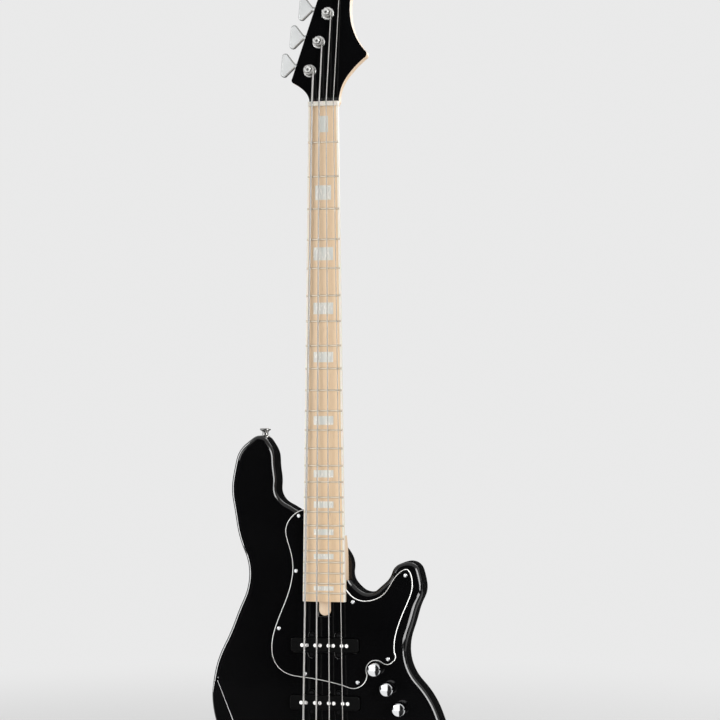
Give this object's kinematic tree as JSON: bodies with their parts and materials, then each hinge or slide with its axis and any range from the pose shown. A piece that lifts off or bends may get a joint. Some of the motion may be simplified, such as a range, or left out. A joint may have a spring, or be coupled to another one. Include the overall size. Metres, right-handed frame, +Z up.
{
  "type": "electric bass guitar",
  "caption": "Long-scale electric bass guitar: black contoured body, bolt-on bound maple neck with block inlays, in-line tuners, single-coil pickups, chrome knobs.",
  "frame": {"origin": "centre of the neck at the headstock edge of the nut, on the plane between fretboard and neck, where a hanger's yoke takes the neck", "axes": "+Z up the neck towards the headstock, +Y into the body away from the strings, +X to the treble side"},
  "size_m": [0.329, 0.0605, 1.1797],
  "materials": {
    "body_lacquer": "black gloss lacquer over wood",
    "guard_plastic": "black gloss",
    "maple": "satin maple",
    "head_lacquer": "black gloss lacquer",
    "ivory_plastic": "ivory gloss",
    "pearl": "pearl",
    "fret_wire": "polished nickel silver",
    "bone": "polished bone",
    "rod_steel": "plain steel",
    "screw_chrome": "chrome",
    "string_nickel": "nickel winding",
    "tuner_chrome": "satin chrome",
    "pickup_plastic": "black",
    "pole_steel": "ground ends",
    "coil": "waxed copper winding",
    "bridge_chrome": "chrome",
    "screw_steel": "plated steel",
    "knob_chrome": "polished chrome",
    "pot_metal": "plated steel",
    "cover_plastic": "black",
    "jack_chrome": "chrome"
  },
  "bodies": {
    "instrument": {"body": "body_lacquer", "pickguard": "guard_plastic", "neck": "maple", "headstock_veneer": "head_lacquer", "fretboard": "maple", "fretboard_binding": "ivory_plastic", "inlay_blocks": "pearl", "frets": "fret_wire", "nut": "bone", "truss_rod": "rod_steel", "neck_bolts": "screw_chrome", "neck_ferrules": "screw_chrome", "string_e": "string_nickel", "string_a": "string_nickel", "string_d": "string_nickel", "string_g": "string_nickel", "tuner_plates": "tuner_chrome", "tuner_bushings": "tuner_chrome", "bridge_plate": "bridge_chrome", "pots": "pot_metal", "pot_nuts": "pot_metal", "control_cover": "cover_plastic", "output_jack": "jack_chrome", "strap_buttons": "jack_chrome"},
    "tuner_key_1": {"tuner_key_1": "tuner_chrome"},
    "tuner_post_1": {"tuner_post_1": "tuner_chrome"},
    "tuner_key_2": {"tuner_key_2": "tuner_chrome"},
    "tuner_post_2": {"tuner_post_2": "tuner_chrome"},
    "tuner_key_3": {"tuner_key_3": "tuner_chrome"},
    "tuner_post_3": {"tuner_post_3": "tuner_chrome"},
    "tuner_key_4": {"tuner_key_4": "tuner_chrome"},
    "tuner_post_4": {"tuner_post_4": "tuner_chrome"},
    "knob_1": {"knob_1": "knob_chrome"},
    "knob_2": {"knob_2": "knob_chrome"},
    "knob_3": {"knob_3": "knob_chrome"},
    "pickup_neck": {"pickup_cover_neck": "pickup_plastic", "pickup_poles_neck": "pole_steel", "pickup_coil_neck": "coil"},
    "pickup_bridge": {"pickup_cover_bridge": "pickup_plastic", "pickup_poles_bridge": "pole_steel", "pickup_coil_bridge": "coil"},
    "truss_rod_nut": {"truss_rod_nut": "rod_steel"},
    "saddle_1": {"saddle_1": "bridge_chrome"},
    "intonation_screw_1": {"intonation_screw_1": "screw_steel"},
    "saddle_2": {"saddle_2": "bridge_chrome"},
    "intonation_screw_2": {"intonation_screw_2": "screw_steel"},
    "saddle_3": {"saddle_3": "bridge_chrome"},
    "intonation_screw_3": {"intonation_screw_3": "screw_steel"},
    "saddle_4": {"saddle_4": "bridge_chrome"},
    "intonation_screw_4": {"intonation_screw_4": "screw_steel"}
  },
  "joints": [
    {"name": "tuner_key_1_turn", "type": "hinge", "parent": "instrument", "child": "tuner_key_1", "pos_m": [-0.01952, 0.0262, 0.05227], "axis": [-0.9962, 0, 0.0872], "continuous": true},
    {"name": "tuner_post_1_turn", "type": "hinge", "parent": "instrument", "child": "tuner_post_1", "pos_m": [-0.0203, 0, 0.0433], "axis": [0, 1, 0], "continuous": true},
    {"name": "tuner_key_2_turn", "type": "hinge", "parent": "instrument", "child": "tuner_key_2", "pos_m": [-0.00712, 0.0262, 0.09037], "axis": [-0.9962, 0, 0.0872], "continuous": true},
    {"name": "tuner_post_2_turn", "type": "hinge", "parent": "instrument", "child": "tuner_post_2", "pos_m": [-0.0079, 0, 0.0814], "axis": [0, 1, 0], "continuous": true},
    {"name": "tuner_key_3_turn", "type": "hinge", "parent": "instrument", "child": "tuner_key_3", "pos_m": [0.00528, 0.0262, 0.12847], "axis": [-0.9962, 0, 0.0872], "continuous": true},
    {"name": "tuner_post_3_turn", "type": "hinge", "parent": "instrument", "child": "tuner_post_3", "pos_m": [0.0045, 0, 0.1195], "axis": [0, 1, 0], "continuous": true},
    {"name": "tuner_key_4_turn", "type": "hinge", "parent": "instrument", "child": "tuner_key_4", "pos_m": [0.01768, 0.0262, 0.16657], "axis": [-0.9962, 0, 0.0872], "continuous": true},
    {"name": "tuner_post_4_turn", "type": "hinge", "parent": "instrument", "child": "tuner_post_4", "pos_m": [0.0169, 0, 0.1576], "axis": [0, 1, 0], "continuous": true},
    {"name": "knob_1_turn", "type": "hinge", "parent": "instrument", "child": "knob_1", "pos_m": [0.0686, 0, -0.7527], "axis": [0, -1, 0], "range_deg": [-150, 150]},
    {"name": "knob_2_turn", "type": "hinge", "parent": "instrument", "child": "knob_2", "pos_m": [0.0852, 0, -0.7782], "axis": [0, -1, 0], "range_deg": [-150, 150]},
    {"name": "knob_3_turn", "type": "hinge", "parent": "instrument", "child": "knob_3", "pos_m": [0.1015, 0, -0.804], "axis": [0, -1, 0], "range_deg": [-150, 150]},
    {"name": "pickup_neck_height", "type": "slide", "parent": "instrument", "child": "pickup_neck", "axis": [0, -1, 0], "range_m": [-0.002, 0.002]},
    {"name": "pickup_bridge_height", "type": "slide", "parent": "instrument", "child": "pickup_bridge", "axis": [0, -1, 0], "range_m": [-0.002, 0.002]},
    {"name": "truss_rod_nut_turn", "type": "hinge", "parent": "instrument", "child": "truss_rod_nut", "pos_m": [0, 0.009, -0.665], "axis": [0, 0, 1], "range_deg": [-180, 180]},
    {"name": "intonation_screw_1_turn", "type": "hinge", "parent": "instrument", "child": "intonation_screw_1", "pos_m": [-0.0273, -0.0029, -0.922], "axis": [0, 0, 1], "range_deg": [-1800, 1800]},
    {"name": "saddle_1_slide", "type": "slide", "parent": "instrument", "child": "saddle_1", "axis": [0, 0, 1], "range_m": [-0.004, 0.004]},
    {"name": "intonation_screw_2_turn", "type": "hinge", "parent": "instrument", "child": "intonation_screw_2", "pos_m": [-0.0091, -0.0029, -0.922], "axis": [0, 0, 1], "range_deg": [-1800, 1800]},
    {"name": "saddle_2_slide", "type": "slide", "parent": "instrument", "child": "saddle_2", "axis": [0, 0, 1], "range_m": [-0.004, 0.004]},
    {"name": "intonation_screw_3_turn", "type": "hinge", "parent": "instrument", "child": "intonation_screw_3", "pos_m": [0.0091, -0.0029, -0.922], "axis": [0, 0, 1], "range_deg": [-1800, 1800]},
    {"name": "saddle_3_slide", "type": "slide", "parent": "instrument", "child": "saddle_3", "axis": [0, 0, 1], "range_m": [-0.004, 0.004]},
    {"name": "intonation_screw_4_turn", "type": "hinge", "parent": "instrument", "child": "intonation_screw_4", "pos_m": [0.0273, -0.0029, -0.922], "axis": [0, 0, 1], "range_deg": [-1800, 1800]},
    {"name": "saddle_4_slide", "type": "slide", "parent": "instrument", "child": "saddle_4", "axis": [0, 0, 1], "range_m": [-0.004, 0.004]}
  ],
  "couplings": [
    {"joint": "tuner_post_1_turn", "follows": "tuner_key_1_turn", "ratio": 0.05},
    {"joint": "tuner_post_2_turn", "follows": "tuner_key_2_turn", "ratio": 0.05},
    {"joint": "tuner_post_3_turn", "follows": "tuner_key_3_turn", "ratio": 0.05},
    {"joint": "tuner_post_4_turn", "follows": "tuner_key_4_turn", "ratio": 0.05},
    {"joint": "intonation_screw_1_turn", "follows": "saddle_1_slide", "rad_per_m": -7854},
    {"joint": "intonation_screw_2_turn", "follows": "saddle_2_slide", "rad_per_m": -7854},
    {"joint": "intonation_screw_3_turn", "follows": "saddle_3_slide", "rad_per_m": -7854},
    {"joint": "intonation_screw_4_turn", "follows": "saddle_4_slide", "rad_per_m": -7854}
  ]
}
